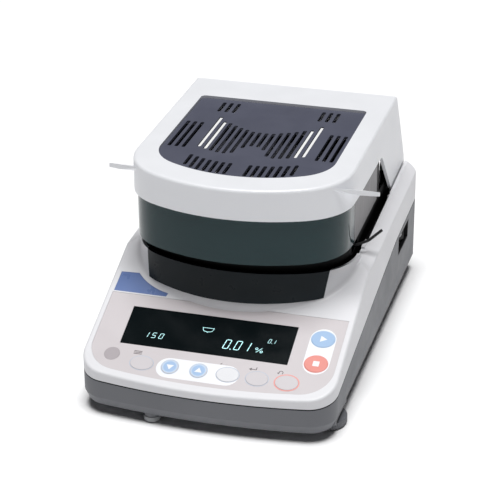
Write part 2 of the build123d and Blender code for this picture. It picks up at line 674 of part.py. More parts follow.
with BuildPart() as fuse_holder:
    with BuildSketch(Plane.XZ.offset(-CASE_YR)):
        with Locations((FUSE_X, CONN_Z)):
            Circle(6.0)
    extrude(amount=26)
    with BuildSketch(Plane.XZ.offset(-CASE_YR + 2.5)):
        with Locations((FUSE_X, CONN_Z)):
            Circle(8.0)
            Circle(5.5, mode=Mode.SUBTRACT)
    extrude(amount=2.0)
    with Locations((FUSE_X, CASE_YR, CONN_Z)):
        Box(7.5, 2.4, 1.4, mode=Mode.SUBTRACT)
fuse_holder.part.label = "fuse_holder"
export_step(fuse_holder.part, "parts/fuse_holder.step")

with BuildPart() as earth_terminal:
    with BuildSketch(Plane.XZ.offset(-CASE_YR)):
        with Locations((EARTH_X, CONN_Z)):
            Circle(2.0)
    extrude(amount=14)
    with BuildSketch(Plane.XZ.offset(-CASE_YR + 2.5)):
        with Locations((EARTH_X, CONN_Z)):
            RegularPolygon(4.2, 6)
            Circle(1.8, mode=Mode.SUBTRACT)
    extrude(amount=3.0)
earth_terminal.part.label = "earth_terminal"
export_step(earth_terminal.part, "parts/earth_terminal.step")

with BuildPart() as serial_connector:
    with Locations((SERIAL_X, CASE_YR - 6.5, CONN_Z)):
        Box(30.8, 12.6, 12.4)
    with BuildSketch(Plane.XZ.offset(-CASE_YR)):
        with Locations((SERIAL_X, CONN_Z)):
            RectangleRounded(18.5, 9.0, 2.0)
            RectangleRounded(16.9, 7.4, 1.4, mode=Mode.SUBTRACT)
    extrude(amount=5.5, mode=Mode.SUBTRACT)
    with BuildSketch(Plane.XZ.offset(-CASE_YR)):
        with Locations((SERIAL_X - 12.5, CONN_Z), (SERIAL_X + 12.5, CONN_Z)):
            Circle(1.6)
    extrude(amount=6.0, mode=Mode.SUBTRACT)
serial_connector.part.label = "serial_connector"
export_step(serial_connector.part, "parts/serial_connector.step")

# ---------------------------------------------------------------------------
# Weighing chamber
# ---------------------------------------------------------------------------
RIM_Z = 80.0            # underside of the tub's floor
with BuildPart() as chamber_rim:
    extrude(d_face(RIM_Z, yr=127.7, **grow(OPN, -0.3)), amount=2.5)
    with Locations((0, 55.0, RIM_Z + 1.25)):
        Box(2 * SIDE_HW - 0.4, 83.6, 2.5)
    with BuildSketch(Plane.XY.offset(RIM_Z - 1.0)):
        with Locations((POST_X, POST_YR), (-POST_X, POST_YR)):
            Circle(5.5)
    extrude(amount=5.0, mode=Mode.SUBTRACT)
    extrude(d_face(RIM_Z + 2.0, yr=123.0, **grow(OPN, -4.0)), amount=22.5)
    extrude(d_face(RIM_Z + 2.5, yr=120.5, **grow(OPN, -6.5)), amount=40, mode=Mode.SUBTRACT)
    # the ring wall falls to the floor behind the drying chamber
    with Locations((0, 106, 97.0)):
        Box(150, 60, 16.0, mode=Mode.SUBTRACT)
    # posts down to the chassis plate
    with BuildSketch(Plane.XY.offset(CH_Z + CH_T)):
        with Locations((74, -30), (-74, -30), (74, 96), (-74, 96)):
            Circle(4.5)
    extrude(amount=RIM_Z + 0.5 - CH_Z - CH_T)
    with BuildSketch(Plane.XY.offset(RIM_Z - 1)):
        with Locations((0, PAN_Y)):
            Circle(9.0)
    extrude(amount=6, mode=Mode.SUBTRACT)
    # slot for the handle's lever
    with Locations((82.0, -9.0, 101.0)):
        Box(14.0, 20.0, 15.0, mode=Mode.SUBTRACT)
chamber_rim.part.label = "chamber_rim"
export_step(chamber_rim.part, "parts/chamber_rim.step")

with BuildPart() as drip_tray:
    with BuildSketch(Plane.XZ):
        with BuildLine():
            Polyline((12.0, 82.5), (64.0, 82.5), (64.0, 87.0), (63.2, 87.0), (63.2, 83.3), (12.8, 83.3),
                     (12.8, 86.0), (12.0, 86.0), close=True)
        make_face()
    revolve(axis=Axis.Z)
drip_tray.part = drip_tray.part.moved(Location((0, PAN_Y, 0)))
drip_tray.part.label = "drip_tray"
export_step(drip_tray.part, "parts/drip_tray.step")

with BuildPart() as breeze_ring:
    with BuildSketch(Plane.XY.offset(83.3)):
        with Locations((0, PAN_Y)):
            Circle(51.5)
            Circle(50.3, mode=Mode.SUBTRACT)
    extrude(amount=18.5)
    with Locations((50.0, PAN_Y - 4, 98.0)):
        Box(12.0, 26.0, 9.0, mode=Mode.SUBTRACT)
breeze_ring.part.label = "breeze_ring"
export_step(breeze_ring.part, "parts/breeze_ring.step")

PAN_Z = 93.6
with BuildPart() as pan_support:
    with BuildSketch(Plane.XY.offset(58.0)):
        with Locations((0, PAN_Y)):
            Circle(4.0)
    extrude(amount=PAN_Z - 58.0 - 2.4)
    with BuildSketch(Plane.XY.offset(PAN_Z - 2.4)):
        with Locations((0, PAN_Y)):
            Circle(8.0)
            with PolarLocations(18.0, 3, 90):
                Rectangle(36.0, 5.0)
    extrude(amount=2.4)
pan_support.part.label = "pan_support"
export_step(pan_support.part, "parts/pan_support.step")

with BuildPart() as sample_pan:
    with BuildSketch(Plane.XZ):
        with BuildLine():
            Polyline((0, PAN_Z), (41.6, PAN_Z), (42.3, 99.5), (45.2, 99.6), (45.2, 100.0), (41.9, 100.0),
                     (41.2, PAN_Z + 0.4), (0, PAN_Z + 0.4), close=True)
        make_face()
    revolve(axis=Axis.Z)
sample_pan.part = sample_pan.part.moved(Location((0, PAN_Y, 0)))
sample_pan.part.label = "sample_pan"
export_step(sample_pan.part, "parts/sample_pan.step")

with BuildPart() as pan_handle:
    with BuildSketch(Plane.XZ):
        with Locations((43.9, 97.9)):
            Circle(1.15)
    revolve(axis=Axis.Z)
    with BuildLine() as lever:
        FilletPolyline((43.9, -9.0, 97.9), (84.0, -6.0, 97.9), (93.0, -2.6, 101.2), (102.5, 3.0, 109.0), radius=[12.0, 12.0])
    with BuildSketch(Plane(origin=(43.9, -9.0, 97.9), z_dir=(40.1, 3.0, 0))):
        Circle(1.15)
    sweep()
pan_handle.part = pan_handle.part.moved(Location((0, PAN_Y, 0)))
pan_handle.part.label = "pan_handle"
export_step(pan_handle.part, "parts/pan_handle.step")

with BuildPart() as bubble_level:
    with BuildSketch(Plane.XY.offset(82.5)):
        with Locations((-60, 108)):
            Circle(8.0)
    extrude(amount=5.5)
    with BuildSketch(Plane.XY.offset(82.5)):
        with Locations((-60, 108)):
            Circle(10.0)
    extrude(amount=1.5)
bubble_level.part.label = "bubble_level"
export_step(bubble_level.part, "parts/bubble_level.step")

# ---------------------------------------------------------------------------
# Inside the case
# ---------------------------------------------------------------------------
with BuildPart() as chassis:
    with BuildSketch(Plane.XY.offset(CH_Z)):
        with Locations((0, 18)):
            RectangleRounded(158, 226, 8)
        with Locations((0, 60), (0, -70)):
            SlotOverall(60, 12, mode=Mode.SUBTRACT)
    extrude(amount=CH_T)
chassis.part.label = "chassis"
export_step(chassis.part, "parts/chassis.step")

SB_Z = CH_Z + CH_T
with BuildPart() as sensor_base:
    with Locations((0, 40, SB_Z + 4)):
        Box(44, 60, 8)
    with Locations((0, 52, SB_Z + 11)):
        Box(30, 30, 8)
    with Locations((0, -28, SB_Z + 4)):
        Box(44, 18, 8)
sensor_base.part.label = "sensor_base"
export_step(sensor_base.part, "parts/sensor_base.step")

with BuildPart() as weighing_sensor:
    with BuildSketch(Plane.YZ.offset(-14)):
        with Locations((18, SB_Z + 29.75)):
            Rectangle(98, 29.5)
        # parallel guides and lever cut-outs
        with Locations((10, SB_Z + 41.0), (10, SB_Z + 18.5)):
            SlotOverall(60, 2.4, mode=Mode.SUBTRACT)
        with Locations((26, SB_Z + 30)):
            SlotOverall(34, 8, mode=Mode.SUBTRACT)
    extrude(amount=28)
    with Locations((0, PAN_Y - 18, SB_Z + 24)):
        Box(28, 16, 12)
    with BuildSketch(Plane.XY.offset(SB_Z + 44.4)):
        with Locations((0, PAN_Y)):
            Circle(7.0)
    extrude(amount=58.0 - SB_Z - 44.4)
weighing_sensor.part.label = "weighing_sensor"
export_step(weighing_sensor.part, "parts/weighing_sensor.step")

with BuildPart() as main_board:
    with Locations((-46, 40, SB_Z + 2.5)):
        Box(46, 120, 5)
        Box(40, 108, 5, mode=Mode.SUBTRACT)
    with Locations((-46, 40, SB_Z + 5.8)):
        Box(46, 120, 1.6)
    z = SB_Z + 6.6
    for x, y, w, d, h in ((-46, 20, 18, 18, 2.4), (-54, 62, 12, 26, 3.0), (-32, 60, 10, 22, 8.0), (-58, -6, 14, 8, 9.0),
                          (-36, -8, 8, 8, 6.0), (-46, 88, 30, 10, 11.0)):
        with Locations((x, y, z + h / 2)):
            Box(w, d, h)
main_board.part.label = "main_board"
export_step(main_board.part, "parts/main_board.step")

with BuildPart() as power_supply:
    with Locations((46, 30, SB_Z + 2.5)):
        Box(46, 100, 5)
        Box(40, 90, 5, mode=Mode.SUBTRACT)
    with Locations((46, 30, SB_Z + 5.8)):
        Box(46, 100, 1.6)
    for x, y, w, d, h in ((46, 34, 30, 26, 24.0), (32, 4, 12, 20, 18.0), (58, -10, 14, 8, 10.0), (57, 64, 18, 20, 16.0)):
        with Locations((x, y, z + h / 2)):
            Box(w, d, h)
    with BuildSketch(Plane.XY.offset(z)):
        with Locations((54, 6), (34, 64)):
            Circle(7.0)
    extrude(amount=22.0)
power_supply.part.label = "power_supply"
export_step(power_supply.part, "parts/power_supply.step")

with BuildPart() as hinge_brackets:
    for sx in (-1, 1):
        with BuildSketch(Plane.YZ.offset(sx * BRX - 2.75)):
            with Locations((HY, HZ)):
                Circle(8.5)
            with BuildLine():
                Polyline((139.7, 76.3), (151.3, 76.3), (151.3, 92.0), (152.0, 97.0), (141.0, 99.0), (139.7, 92.0), close=True)
            make_face()
            with Locations((HY, HZ)):
                Circle(PIN_R, mode=Mode.SUBTRACT)
        extrude(amount=5.5)
        with Locations((sx * (BRX - 8.0), 145.5, 77.8)):
            Box(21.5, 18.0, 3.0)
hinge_brackets.part.label = "hinge_brackets"
export_step(hinge_brackets.part, "parts/hinge_brackets.step")

with BuildPart() as hinge_pins:
    for sx in (-1, 1):
        with BuildSketch(Plane.YZ.offset(sx * 77.0 - 8.0)):
            with Locations((HY, HZ)):
                Circle(PIN_R)
        extrude(amount=16.0)
hinge_pins.part.label = "hinge_pins"
export_step(hinge_pins.part, "parts/hinge_pins.step")

# ---------------------------------------------------------------------------
# Lid
# ---------------------------------------------------------------------------


def lid_profile(x0, x1, pts, arc=None):
    with BuildPart() as p:
        with BuildSketch(Plane.YZ.offset(x0)):
            with BuildLine():
                if arc:
                    ThreePointArc(*arc)
                Polyline(*pts)
            make_face()
        extrude(amount=x1 - x0)
    return p.part


outer_yz = [(160, 97), (158.5, 106), (121, LID_TOP_R), (-96, LID_TOP_F), (-96, 147.1), (-15, 142.8), (58, 142.2),
            (66, 141.0), (107, 96), (144.5, 85.52)]
outer_arc = ((144.5, 85.52), (HY + 12 * math.sin(math.radians(25)), HZ - 12 * math.cos(math.radians(25))), (160, 97))
with BuildPart() as heater_cover:
    extrude(d_face(80.0, yr=165.0, **LID), amount=100)
    add(lid_profile(-100, 100, outer_yz, outer_arc), mode=Mode.INTERSECT)
    shell_e = heater_cover.edges().filter_by(lambda e: e.center().Z > 171.0 and e.center().Y < 110)
    fillet(shell_e, 2.4)
    add(lid_profile(-84.5, 84.5, [(118.6, 170.0), (-110, 168.9), (-110, 60), (157.2, 60), (157.2, 101.8),
                                  (118.6, 170.0)]).intersect(
        extrude(d_face(50.0, yr=170.0, **grow(LID, -2.5)), amount=130, mode=Mode.PRIVATE)), mode=Mode.SUBTRACT)
    # rear edge between the bosses ends above the bracket stems
    with Locations((0, 152.0, 90.0)):
        Box(152.0, 24.0, 20.0, mode=Mode.SUBTRACT)
    # hinge bosses
    for sx in (-1, 1):
        with BuildSketch(Plane.YZ.offset(sx * 81.0 - 5.0)):
            with Locations((HY, HZ)):
                Circle(11.0)
        extrude(amount=10.0)
        with BuildSketch(Plane.YZ.offset(sx * 80.5 - 5.0)):
            with Locations((HY, HZ)):
                Circle(PIN_R + PIN_CLEAR)
        extrude(amount=10.0, mode=Mode.SUBTRACT)
    # window for the grille
    extrude(d_face(160.0, 70.2, -69.7, 83.2, 110.0, 35.0, 4.0), amount=20, mode=Mode.SUBTRACT)
heater_cover.part.label = "heater_cover"
export_step(heater_cover.part, "parts/heater_cover.step")

SLOTS = []              # x, y0, y1
for x in (36.0, 42.2, 48.3):
    SLOTS.append((x, 56.5, 77.0))
for x in (53.5, 59.3, 65.1):
    SLOTS.append((x, -22.5, 31.0))
for x, y1, y0 in ((2.8, 21.2, -8.0), (8.4, 21.8, -13.0), (14.0, 24.5, -24.4), (19.6, 27.0, -27.0), (25.2, 30.5, -26.0),
                  (30.8, 34.3, -24.0), (36.2, 36.5, -21.0), (42.0, 45.5, -18.0)):
    SLOTS.append((x, y0, y1))
for x, y1, y0 in ((8.0, -43.5, -65.0), (13.7, -43.2, -64.8), (19.3, -42.6, -64.3), (25.0, -41.4, -63.4),
                  (30.7, -39.6, -61.8), (36.3, -37.4, -59.0), (42.0, -34.6, -55.0)):
    SLOTS.append((x, y0, y1))
with BuildPart() as grille:
    extrude(d_face(168.4, 70.0, -69.5, 83.0, 110.0, 35.0, 3.8), amount=2.2)
    with BuildSketch(Plane.XY.offset(160)):
        for x, y0, y1 in SLOTS:
            with Locations((x, (y0 + y1) / 2), (-x, (y0 + y1) / 2)):
                SlotOverall(y1 - y0, 3.0, rotation=90)
    extrude(amount=20, mode=Mode.SUBTRACT)
grille.part.label = "grille"
export_step(grille.part, "parts/grille.step")

with BuildPart() as bright_strips:
    for x, y0, y1 in ((36.2, -21.0, 36.5), (42.0, -18.0, 45.5)):
        with Locations((x, (y0 + y1) / 2, 169.0), (-x, (y0 + y1) / 2, 169.0)):
            Box(2.0, y1 - y0 - 1.6, 2.0)
    with Locations((39.1, 0.0, 167.7), (-39.1, 0.0, 167.7)):
        Box(9.0, 30.0, 1.4)
bright_strips.part.label = "bright_strips"
export_step(bright_strips.part, "parts/bright_strips.step")

GL_Y = -22.0            # rear end of the curved glass
with BuildPart() as cover_glass:
    extrude(d_face(90.0, yr=GL_Y, **grow(LID, -2.5)), amount=62.0)
    extrude(d_face(80.0, yr=0.0, **grow(LID, -5.0)), amount=90.0, mode=Mode.SUBTRACT)
    with BuildSketch(Plane.YZ.offset(-100)):
        with BuildLine():
            Polyline((-100, 160), (-100, 109.8), (-85, 109.3), (-40, 107.0), (-20, 104.0), (-20, 160), close=True)
        make_face()
    extrude(amount=200, mode=Mode.INTERSECT)
cover_glass.part.label = "cover_glass"
export_step(cover_glass.part, "parts/cover_glass.step")

with BuildPart() as side_plates:
    for sx in (-1, 1):
        with BuildSketch(Plane.YZ.offset(sx * 83.9 - 0.6)):
            with BuildLine():
                Polyline((GL_Y + 0.6, 104.5), (60.0, 106.5), (60.0, 150.0), (GL_Y + 0.6, 150.0), close=True)
            make_face()
        extrude(amount=1.2)
side_plates.part.label = "side_plates"
export_step(side_plates.part, "parts/side_plates.step")

with BuildPart() as inner_frame:
    extrude(d_face(138.0, yr=68.0, **grow(LID, -5.05)), amount=3.0)
    extrude(d_face(138.0, yr=68.0, **grow(LID, -5.05)), amount=14.0)
    extrude(d_face(141.0, yr=66.0, **grow(LID, -7.05)), amount=14.0, mode=Mode.SUBTRACT)
    # rear rail that carries the side plates and the cover
    for sx in (-1, 1):
        with Locations((sx * 82.0, 21.0, 146.0)):
            Box(2.6, 76.0, 8.0)
        with Locations((sx * 81.9, 64.5, 128.75)):
            Box(5.0, 6.0, 44.5)
        with Locations((sx * 79.0, 30.0, 160.5), (sx * 79.0, -26.0, 160.5)):
            Box(5.8, 8.0, 17.2)
    with BuildSketch(Plane.XY.offset(130)):
        with Locations((0, PAN_Y)):
            Circle(49.0)
    extrude(amount=20, mode=Mode.SUBTRACT)
inner_frame.part.label = "inner_frame"
export_step(inner_frame.part, "parts/inner_frame.step")

with BuildPart() as reflector:
    with BuildSketch(Plane.XZ):
        with BuildLine():
            Polyline((0, 164.0), (34.0, 164.0), (58.0, 152.0), (61.5, 142.2), (66.0, 142.2), (66.0, 141.0), (60.5, 141.0),
                     (57.0, 151.2), (33.7, 162.8), (0, 162.8), close=True)
        make_face()
    revolve(axis=Axis.Z)
    with BuildSketch(Plane.XY.offset(160)):
        with GridLocations(12, 12, 3, 3):
            Circle(2.5)
    extrude(amount=6, mode=Mode.SUBTRACT)
reflector.part = reflector.part.moved(Location((0, PAN_Y, 0)))
reflector.part.label = "reflector"
export_step(reflector.part, "parts/reflector.step")

with BuildPart() as lamp_holders:
    for sx in (-1, 1):
        with Locations((sx * 52.0, PAN_Y, 145.0)):
            Box(5.0, 30.0, 8.0)
        with BuildSketch(Plane.YZ.offset(sx * 52.0 - 2.5)):
            with Locations((PAN_Y - 10, 146.0), (PAN_Y + 10, 146.0)):
                Circle(5.0)
        extrude(amount=5.0)
    with BuildSketch(Plane.YZ.offset(-60)):
        with Locations((PAN_Y - 10, 146.0), (PAN_Y + 10, 146.0)):
            Circle(2.5)
    extrude(amount=120.0, mode=Mode.SUBTRACT)
lamp_holders.part.label = "lamp_holders"
export_step(lamp_holders.part, "parts/lamp_holders.step")

with BuildPart() as halogen_lamps:
    with BuildSketch(Plane.YZ.offset(-46.0)):
        with Locations((PAN_Y - 10, 146.0), (PAN_Y + 10, 146.0)):
            Circle(4.2)
    extrude(amount=92.0)
    with BuildSketch(Plane.YZ.offset(-54.0)):
        with Locations((PAN_Y - 10, 146.0), (PAN_Y + 10, 146.0)):
            Circle(2.5)
    extrude(amount=108.0)
halogen_lamps.part.label = "halogen_lamps"
export_step(halogen_lamps.part, "parts/halogen_lamps.step")

with BuildPart() as lamp_guard:
    with BuildSketch(Plane.XY.offset(136.0)):
        with Locations((0, PAN_Y)):
            Circle(54.0)
    extrude(amount=2.0)
lamp_guard.part.label = "lamp_guard"
export_step(lamp_guard.part, "parts/lamp_guard.step")

with BuildPart() as guard_ring:
    with BuildSketch(Plane.XY.offset(134.6)):
        with Locations((0, PAN_Y)):
            Circle(60.0)
            Circle(50.0, mode=Mode.SUBTRACT)
    extrude(amount=3.4)
    with BuildSketch(Plane.XY.offset(136.0)):
        with Locations((0, PAN_Y)):
            Circle(54.0)
    extrude(amount=3.0, mode=Mode.SUBTRACT)
guard_ring.part.label = "guard_ring"
export_step(guard_ring.part, "parts/guard_ring.step")

with BuildPart() as temperature_sensor:
    with BuildSketch(Plane.XY.offset(122.0)):
        with Locations((48.0, 50.0)):
            Circle(2.0)
    extrude(amount=16.0)
    with BuildSketch(Plane.XY.offset(136.0)):
        with Locations((48.0, 50.0)):
            Circle(4.5)
    extrude(amount=2.0)
temperature_sensor.part.label = "temperature_sensor"
export_step(temperature_sensor.part, "parts/temperature_sensor.step")

with BuildPart() as grips:
    # thin blades that rise towards the front along the lid's skirt
    for sx in (-1, 1):
        with BuildSketch(Plane.XY.offset(150.0)):
            with BuildLine():
                Polyline((sx * 73.5, -67.0), (sx * 92.0, -56.0), (sx * 107.5, -42.5), (sx * 107.5, -39.5),
                         (sx * 84.0, -38.0), close=True)
            make_face()
        extrude(amount=22.0)
    with BuildSketch(Plane.YZ.offset(-110)):
        with BuildLine():
            Polyline((-68.0, 170.2), (-36.0, 156.5), (-36.0, 153.3), (-42.5, 155.8), (-54.0, 160.2), (-68.0, 169.4), close=True)
        make_face()
    extrude(amount=220, mode=Mode.INTERSECT)
    extrude(d_face(140.0, yr=10.0, **LID), amount=40.0, mode=Mode.SUBTRACT)
grips.part.label = "grips"
export_step(grips.part, "parts/grips.step")
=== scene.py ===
import math
import bpy
import bmesh
from mathutils import Vector, Matrix


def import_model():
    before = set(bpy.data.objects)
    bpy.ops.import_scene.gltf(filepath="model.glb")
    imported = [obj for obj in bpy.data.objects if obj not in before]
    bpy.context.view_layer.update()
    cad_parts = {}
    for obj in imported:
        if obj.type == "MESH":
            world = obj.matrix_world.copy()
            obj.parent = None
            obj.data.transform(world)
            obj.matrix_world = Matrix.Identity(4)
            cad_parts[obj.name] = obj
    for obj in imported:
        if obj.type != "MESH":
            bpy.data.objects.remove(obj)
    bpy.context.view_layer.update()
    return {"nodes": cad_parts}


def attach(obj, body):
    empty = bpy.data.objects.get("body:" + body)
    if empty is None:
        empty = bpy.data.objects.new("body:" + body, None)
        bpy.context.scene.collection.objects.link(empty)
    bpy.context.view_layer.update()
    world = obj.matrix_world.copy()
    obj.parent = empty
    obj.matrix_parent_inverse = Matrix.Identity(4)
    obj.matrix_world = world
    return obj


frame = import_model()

S = 0.001
D = bpy.data
scene = bpy.context.scene

# ---------------------------------------------------------------------------
# Material helpers
# ---------------------------------------------------------------------------


class Mat:
    """A node material built on one Principled shader, in object coordinates (metres)."""

    def __init__(self, name, **sockets):
        self.m = D.materials.new(name)
        self.m.use_nodes = True
        self.t = self.m.node_tree
        self.n = self.t.nodes
        self.b = self.n["Principled BSDF"]
        self.tc = self.n.new("ShaderNodeTexCoord")
        self.co = self.tc.outputs["Object"]
        for k, v in sockets.items():
            self.b.inputs[k.replace("_", " ")].default_value = v

    def link(self, a, b):
        self.t.links.new(a, b)

    def mapping(self, scale=(1, 1, 1), rot=(0, 0, 0), loc=(0, 0, 0)):
        m = self.n.new("ShaderNodeMapping")
        m.inputs["Scale"].default_value = scale
        m.inputs["Rotation"].default_value = rot
        m.inputs["Location"].default_value = loc
        self.link(self.co, m.inputs["Vector"])
        return m.outputs[0]

    def noise(self, scale, detail=3.0, rough=0.55, vec=None):
        t = self.n.new("ShaderNodeTexNoise")
        t.inputs["Scale"].default_value = scale
        t.inputs["Detail"].default_value = detail
        t.inputs["Roughness"].default_value = rough
        self.link(vec if vec is not None else self.co, t.inputs["Vector"])
        return t.outputs["Fac"]

    def voronoi(self, scale, feature="F1", vec=None):
        t = self.n.new("ShaderNodeTexVoronoi")
        t.feature = feature
        t.inputs["Scale"].default_value = scale
        self.link(vec if vec is not None else self.co, t.inputs["Vector"])
        return t.outputs["Distance"]

    def ramp(self, fac, stops):
        r = self.n.new("ShaderNodeValToRGB")
        e = r.color_ramp.elements
        while len(e) < len(stops):
            e.new(0.5)
        for el, (p, c) in zip(e, stops):
            el.position = p
            el.color = c if len(c) == 4 else (*c, 1)
        self.link(fac, r.inputs[0])
        return r.outputs[0]

    def range(self, fac, lo, hi, a=0.0, b=1.0):
        r = self.n.new("ShaderNodeMapRange")
        r.inputs["From Min"].default_value = a
        r.inputs["From Max"].default_value = b
        r.inputs["To Min"].default_value = lo
        r.inputs["To Max"].default_value = hi
        self.link(fac, r.inputs["Value"])
        return r.outputs[0]

    def math(self, op, a, b=None, clamp=False):
        m = self.n.new("ShaderNodeMath")
        m.operation = op
        m.use_clamp = clamp
        for i, v in enumerate((a, b)):
            if v is None:
                continue
            if isinstance(v, (int, float)):
                m.inputs[i].default_value = v
            else:
                self.link(v, m.inputs[i])
        return m.outputs[0]

    def mix(self, fac, a, b):
        m = self.n.new("ShaderNodeMix")
        m.data_type = "RGBA"
        if isinstance(fac, (int, float)):
            m.inputs[0].default_value = fac
        else:
            self.link(fac, m.inputs[0])
        for i, v in ((6, a), (7, b)):
            if isinstance(v, tuple):
                m.inputs[i].default_value = v if len(v) == 4 else (*v, 1)
            else:
                self.link(v, m.inputs[i])
        return m.outputs[2]

    def xyz(self):
        s = self.n.new("ShaderNodeSeparateXYZ")
        self.link(self.co, s.inputs[0])
        return s.outputs

    def bump(self, height, strength=0.2, distance=0.0001):
        b = self.n.new("ShaderNodeBump")
        b.inputs["Strength"].default_value = strength
        b.inputs["Distance"].default_value = distance
        self.link(height, b.inputs["Height"])
        self.link(b.outputs[0], self.b.inputs["Normal"])
        return b

    def color(self, out):
        self.link(out, self.b.inputs["Base Color"])

    def rough(self, out):
        self.link(out, self.b.inputs["Roughness"])


def shade(c, k):
    return tuple(min(1.0, v * k) for v in c[:3]) + (1,)


def plastic(name, col, rough=0.4, var=0.04, grain=2600.0, bump=0.12, dist=0.00004, coat=0.0, spec=0.5):
    """Moulded plastic: fine grain, slight cloudiness and uneven gloss."""
    m = Mat(name)
    cloud = m.noise(14.0, 4.0)
    m.color(m.ramp(cloud, [(0.3, shade(col, 1 - var)), (0.7, shade(col, 1 + var * 0.5))]))
    m.rough(m.range(m.noise(55.0, 4.0), rough - 0.05, rough + 0.07, 0.3, 0.7))
    m.bump(m.noise(grain, 2.0), bump, dist)
    m.b.inputs["Specular IOR Level"].default_value = spec
    if coat:
        m.b.inputs["Coat Weight"].default_value = coat
        m.b.inputs["Coat Roughness"].default_value = 0.12
    return m.m


def metal(name, col, rough=0.3, stretch=(1, 1, 1), scale=900.0, var=0.12, bump=0.15, aniso=0.0, dist=0.00003):
    """Metal with a directional brush or a fine grain."""
    m = Mat(name, Metallic=1.0)
    v = m.mapping(stretch)
    g = m.noise(scale, 3.0, 0.6, v)
    m.color(m.ramp(g, [(0.25, shade(col, 1 - var)), (0.75, shade(col, 1 + var * 0.4))]))
    m.rough(m.range(g, rough - 0.07, rough + 0.09, 0.3, 0.7))
    m.bump(g, bump, dist)
    if aniso:
        m.b.inputs["Anisotropic"].default_value = aniso
    return m.m


def put(node, *mats):
    o = D.objects[node] if node in D.objects else frame["nodes"][node]
    o.data.materials.clear()
    for mt in mats:
        o.data.materials.append(mt)
    return o


# ---------------------------------------------------------------------------
# Materials
# ---------------------------------------------------------------------------
LIDW = (0.84, 0.85, 0.88)
CASEW = (0.74, 0.74, 0.765)
GREY = (0.145, 0.15, 0.165)
M = {}
M["lid"] = plastic("lid_plastic", LIDW, 0.34, 0.02, 2200, 0.10)
M["case"] = plastic("case_plastic", CASEW, 0.42, 0.025, 1800, 0.22, 0.00005)
M["grey"] = plastic("foot_case_plastic", GREY, 0.5, 0.05, 1500, 0.35, 0.00007)
M["teal"] = plastic("apron_plastic", (0.009, 0.015, 0.019), 0.3, 0.25, 1200, 0.05, 0.00003, spec=0.16)
M["black"] = plastic("black_plastic", (0.008, 0.008, 0.009), 0.45, 0.2, 1600, 0.25, spec=0.3)
M["rim"] = plastic("rim_plastic", (0.003, 0.003, 0.0033), 0.6, 0.2, 1600, 0.25, spec=0.12)
M["rubber"] = plastic("rubber", (0.02, 0.02, 0.021), 0.75, 0.2, 900, 0.4, 0.0001)
M["grille"] = plastic("grille_paint", (0.085, 0.09, 0.125), 0.48, 0.10, 2400, 0.5, 0.00008)
M["steel"] = metal("steel", (0.56, 0.57, 0.58), 0.32, (1, 6, 1), 500)
M["alu"] = metal("machined_aluminium", (0.78, 0.79, 0.8), 0.28, (1, 1, 8), 350)
M["bright"] = metal("bright_strip", (0.95, 0.95, 0.93), 0.16, (1, 0.05, 1), 4000, 0.05, 0.08)
M["brushed"] = metal("brushed_side", (0.115, 0.11, 0.115), 0.36, (1, 1, 0.02), 2600, 0.22, 0.25)
M["pan"] = metal("pan_foil", (0.83, 0.83, 0.84), 0.22, (1, 1, 1), 260, 0.06, 0.2)
M["brass"] = metal("brass", (0.74, 0.55, 0.25), 0.3, (1, 1, 1), 600)
M["zinc"] = metal("zinc_plate", (0.6, 0.62, 0.62), 0.38, (1, 1, 1), 120, 0.15)
M["ceramic"] = plastic("ceramic", (0.78, 0.75, 0.68), 0.6, 0.05, 700, 0.3)
M["board"] = plastic("solder_mask", (0.01, 0.13, 0.05), 0.3, 0.3, 400, 0.3, 0.0001)

print("materials", len(M))

# ---------------------------------------------------------------------------
# Camera
# ---------------------------------------------------------------------------
AZ, EL, ROLL = math.radians(15.8), math.radians(26.0), math.radians(-0.245)
TGT = Vector((0.0004, -0.0032, 0.0784))
back = Vector((math.sin(AZ) * math.cos(EL), -math.cos(AZ) * math.cos(EL), math.sin(EL)))
right = Vector((math.cos(AZ), math.sin(AZ), 0.0))
up = right.cross(-back).normalized()
R2 = right * math.cos(ROLL) + up * math.sin(ROLL)
U2 = -right * math.sin(ROLL) + up * math.cos(ROLL)
cam_d = D.cameras.new("camera")
cam_d.sensor_width = 36.0
cam_d.lens = 1800.0 * 36.0 / 500.0
cam_d.shift_x = -(256.5 - 250.0) / 500.0
cam_d.shift_y = (250.6 - 250.0) / 500.0
cam_d.clip_start, cam_d.clip_end = 0.05, 20.0
cam = D.objects.new("camera", cam_d)
m3 = Matrix((R2, U2, back)).transposed()
cam.matrix_world = Matrix.Translation(TGT + back * 1.447) @ m3.to_4x4()
scene.collection.objects.link(cam)
scene.camera = cam

# ---------------------------------------------------------------------------
# Studio: pale floor, soft light
# ---------------------------------------------------------------------------


def obj(name, me):
    o = D.objects.new(name, me)
    scene.collection.objects.link(o)
    return o


fl = D.meshes.new("floor")
fl.from_pydata([(-6, -6, 0), (6, -6, 0), (6, 6, 0), (-6, 6, 0)], [], [(0, 1, 2, 3)])
floor = obj("floor", fl)
fm = Mat("floor_paper", Roughness=0.9)
fm.color(fm.ramp(fm.noise(40.0, 3.0), [(0.3, (0.955, 0.955, 0.96, 1)), (0.7, (0.97, 0.97, 0.975, 1))]))
fl.materials.append(fm.m)

world = D.worlds.new("world")
scene.world = world
world.use_nodes = True
bg = world.node_tree.nodes["Background"]
bg.inputs[0].default_value = (0.97, 0.98, 1.0, 1)
bg.inputs[1].default_value = 0.03


def area(name, loc, target, size, power, col=(1, 1, 1)):
    d = D.lights.new(name, "AREA")
    d.shape = "RECTANGLE"
    d.size, d.size_y = size
    d.energy = power
    d.color = col
    o = D.objects.new(name, d)
    scene.collection.objects.link(o)
    o.location = loc
    o.rotation_euler = (Vector(target) - Vector(loc)).to_track_quat("-Z", "Y").to_euler()
    return o


